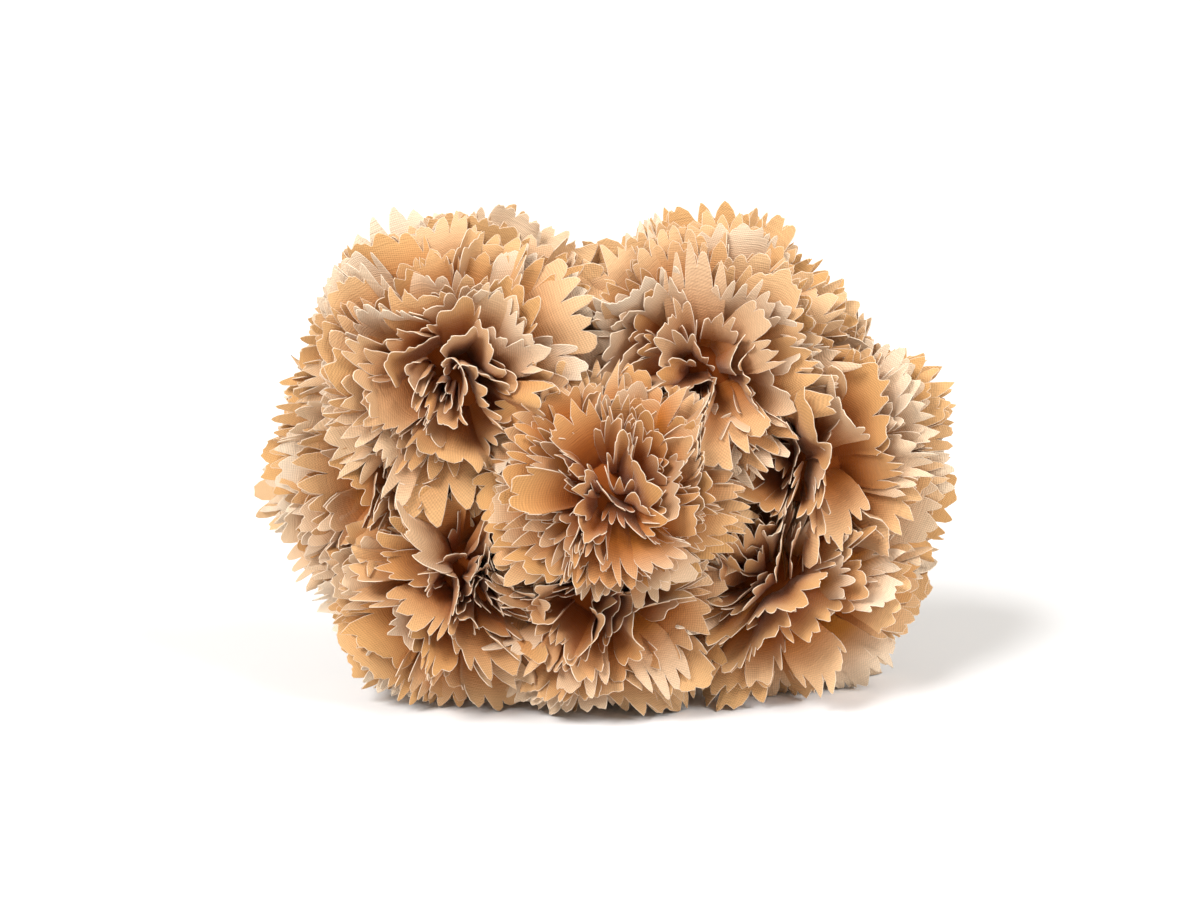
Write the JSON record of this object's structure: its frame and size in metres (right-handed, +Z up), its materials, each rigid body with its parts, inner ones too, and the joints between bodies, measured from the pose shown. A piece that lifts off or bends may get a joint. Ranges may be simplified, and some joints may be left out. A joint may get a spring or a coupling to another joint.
{
  "type": "bunch of carnations",
  "caption": "Tight bunch of dried tan carnation heads with pinked, toothed petals in dense layers, short cut stems bound by a band, lying on a surface.",
  "frame": {"origin": "middle of the bottom of the whole bunch, on the surface that it lies on", "axes": "+Z up, the heads face -Y, the cut stem ends point to +Y, +X to the right as seen from the heads"},
  "size_m": [0.1832, 0.194, 0.1278],
  "materials": {
    "petals": "matte",
    "stems": "matte",
    "tie": "matte"
  },
  "bodies": {
    "root": {"bloom_front": "petals", "bloom_upper_left": "petals", "bloom_upper_right": "petals", "bloom_right": "petals", "bloom_lower_right": "petals", "bloom_lower_centre": "petals", "bloom_lower_left": "petals", "bloom_left": "petals", "stem_front": "stems", "stem_upper_left": "stems", "stem_upper_right": "stems", "stem_right": "stems", "stem_lower_right": "stems", "stem_lower_centre": "stems", "stem_lower_left": "stems", "stem_left": "stems", "tie": "tie"}
  },
  "joints": []
}
